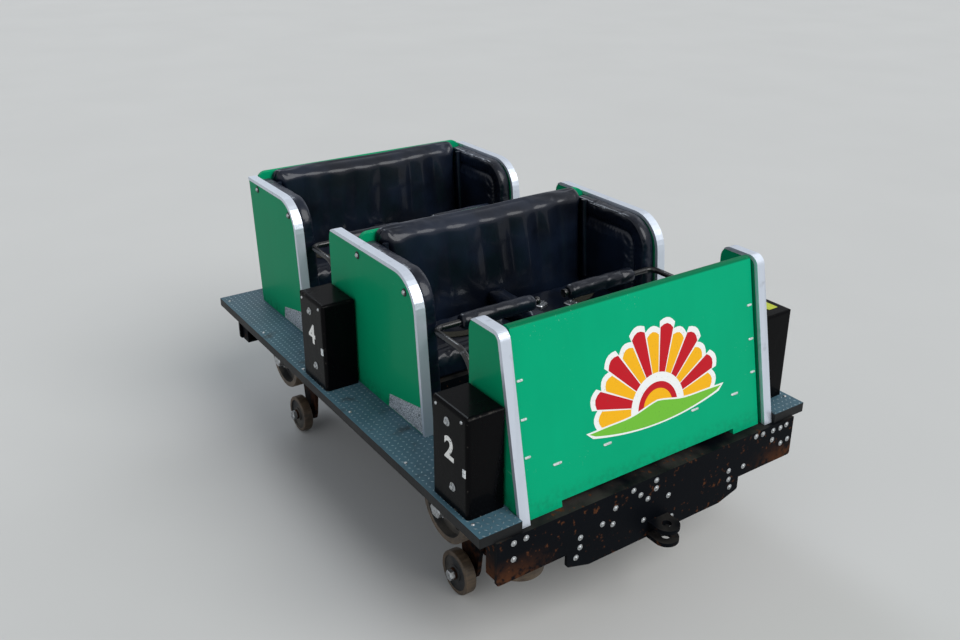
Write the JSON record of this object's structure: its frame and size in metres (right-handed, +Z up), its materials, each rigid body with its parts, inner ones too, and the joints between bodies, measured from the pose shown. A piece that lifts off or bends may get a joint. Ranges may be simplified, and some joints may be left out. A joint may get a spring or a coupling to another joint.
{
  "type": "roller coaster car",
  "caption": "Front car of a wooden roller coaster train: leaning nose panel, two padded benches with lap bars, deck, frame and running gear.",
  "frame": {"origin": "on the floor under the middle of the car's length and width; the car stands on its upstop wheels", "axes": "+X the way the car runs, +Y the riders' left, +Z up"},
  "size_m": [2.4039, 1.4, 1.138],
  "materials": {
    "panel_green": "gloss",
    "bright_edging": "brushed",
    "black_gloss": "gloss",
    "black_vinyl": "gloss",
    "bar_steel": "brushed",
    "foam_sleeve": "satin",
    "deck_plate": "worn",
    "chassis_black": "satin",
    "wheel_tread": "worn",
    "dog_steel": "worn"
  },
  "bodies": {
    "car": {"main_frame": "chassis_black", "front_beam": "chassis_black", "rear_beam": "chassis_black", "floor_deck": "deck_plate", "front_panel": "panel_green", "wing_right": "panel_green", "wing_left": "panel_green", "edge_trims": "bright_edging", "side_front_right": "panel_green", "side_front_left": "panel_green", "side_rear_right": "panel_green", "side_rear_left": "panel_green", "bench_frame_front": "panel_green", "bench_frame_rear": "panel_green", "seat_cushion_front": "black_vinyl", "seat_cushion_rear": "black_vinyl", "back_cushion_front": "black_vinyl", "back_cushion_rear": "black_vinyl", "side_cushions_front": "black_vinyl", "side_cushions_rear": "black_vinyl", "lap_bar_box_1": "black_gloss", "lap_bar_box_2": "black_gloss", "lap_bar_box_3": "black_gloss", "lap_bar_box_4": "black_gloss", "front_running_gear": "chassis_black", "rear_running_gear": "chassis_black", "rear_coupler": "chassis_black", "dog_hangers": "chassis_black"},
    "lap_bar_1": {"lap_bar_1": "bar_steel", "lap_pad_1": "foam_sleeve"},
    "lap_bar_2": {"lap_bar_2": "bar_steel", "lap_pad_2": "foam_sleeve"},
    "lap_bar_3": {"lap_bar_3": "bar_steel", "lap_pad_3": "foam_sleeve"},
    "lap_bar_4": {"lap_bar_4": "bar_steel", "lap_pad_4": "foam_sleeve"},
    "road_wheel_front_right": {"road_wheel_front_right": "wheel_tread"},
    "road_wheel_front_left": {"road_wheel_front_left": "wheel_tread"},
    "road_wheel_rear_right": {"road_wheel_rear_right": "wheel_tread"},
    "road_wheel_rear_left": {"road_wheel_rear_left": "wheel_tread"},
    "guide_wheel_front_right": {"guide_wheel_front_right": "wheel_tread"},
    "guide_wheel_front_left": {"guide_wheel_front_left": "wheel_tread"},
    "guide_wheel_rear_right": {"guide_wheel_rear_right": "wheel_tread"},
    "guide_wheel_rear_left": {"guide_wheel_rear_left": "wheel_tread"},
    "upstop_wheel_front_right": {"upstop_wheel_front_right": "wheel_tread"},
    "upstop_wheel_front_left": {"upstop_wheel_front_left": "wheel_tread"},
    "upstop_wheel_rear_right": {"upstop_wheel_rear_right": "wheel_tread"},
    "upstop_wheel_rear_left": {"upstop_wheel_rear_left": "wheel_tread"},
    "chain_dog": {"chain_dog": "dog_steel"},
    "rollback_dog": {"rollback_dog": "dog_steel"}
  },
  "joints": [
    {"name": "lap_bar_1_swing", "type": "hinge", "parent": "car", "child": "lap_bar_1", "pos_m": [0.941, 0.52, 0.631], "axis": [0, 1, 0], "range_deg": [0, 32]},
    {"name": "lap_bar_2_swing", "type": "hinge", "parent": "car", "child": "lap_bar_2", "pos_m": [0.941, -0.52, 0.631], "axis": [0, 1, 0], "range_deg": [0, 32]},
    {"name": "lap_bar_3_swing", "type": "hinge", "parent": "car", "child": "lap_bar_3", "pos_m": [0.006, 0.52, 0.631], "axis": [0, 1, 0], "range_deg": [0, 32]},
    {"name": "lap_bar_4_swing", "type": "hinge", "parent": "car", "child": "lap_bar_4", "pos_m": [0.006, -0.52, 0.631], "axis": [0, 1, 0], "range_deg": [0, 32]},
    {"name": "road_wheel_front_right_spin", "type": "hinge", "parent": "car", "child": "road_wheel_front_right", "pos_m": [0.696, -0.53, 0.37], "axis": [0, 1, 0], "continuous": true},
    {"name": "road_wheel_front_left_spin", "type": "hinge", "parent": "car", "child": "road_wheel_front_left", "pos_m": [0.696, 0.53, 0.37], "axis": [0, 1, 0], "continuous": true},
    {"name": "road_wheel_rear_right_spin", "type": "hinge", "parent": "car", "child": "road_wheel_rear_right", "pos_m": [-0.604, -0.53, 0.37], "axis": [0, 1, 0], "continuous": true},
    {"name": "road_wheel_rear_left_spin", "type": "hinge", "parent": "car", "child": "road_wheel_rear_left", "pos_m": [-0.604, 0.53, 0.37], "axis": [0, 1, 0], "continuous": true},
    {"name": "guide_wheel_front_right_spin", "type": "hinge", "parent": "car", "child": "guide_wheel_front_right", "pos_m": [0.886, -0.395, 0.205], "axis": [0, 0, 1], "continuous": true},
    {"name": "guide_wheel_front_left_spin", "type": "hinge", "parent": "car", "child": "guide_wheel_front_left", "pos_m": [0.886, 0.395, 0.205], "axis": [0, 0, 1], "continuous": true},
    {"name": "guide_wheel_rear_right_spin", "type": "hinge", "parent": "car", "child": "guide_wheel_rear_right", "pos_m": [-0.794, -0.395, 0.205], "axis": [0, 0, 1], "continuous": true},
    {"name": "guide_wheel_rear_left_spin", "type": "hinge", "parent": "car", "child": "guide_wheel_rear_left", "pos_m": [-0.794, 0.395, 0.205], "axis": [0, 0, 1], "continuous": true},
    {"name": "upstop_wheel_front_right_spin", "type": "hinge", "parent": "car", "child": "upstop_wheel_front_right", "pos_m": [0.696, -0.507, 0.08], "axis": [0, 1, 0], "continuous": true},
    {"name": "upstop_wheel_front_left_spin", "type": "hinge", "parent": "car", "child": "upstop_wheel_front_left", "pos_m": [0.696, 0.507, 0.08], "axis": [0, 1, 0], "continuous": true},
    {"name": "upstop_wheel_rear_right_spin", "type": "hinge", "parent": "car", "child": "upstop_wheel_rear_right", "pos_m": [-0.604, -0.507, 0.08], "axis": [0, 1, 0], "continuous": true},
    {"name": "upstop_wheel_rear_left_spin", "type": "hinge", "parent": "car", "child": "upstop_wheel_rear_left", "pos_m": [-0.604, 0.507, 0.08], "axis": [0, 1, 0], "continuous": true},
    {"name": "chain_dog_swing", "type": "hinge", "parent": "car", "child": "chain_dog", "pos_m": [-0.064, 0, 0.359], "axis": [0, 1, 0], "range_deg": [0, 28]},
    {"name": "rollback_dog_swing", "type": "hinge", "parent": "car", "child": "rollback_dog", "pos_m": [0.456, 0, 0.359], "axis": [0, 1, 0], "range_deg": [0, 28]}
  ]
}
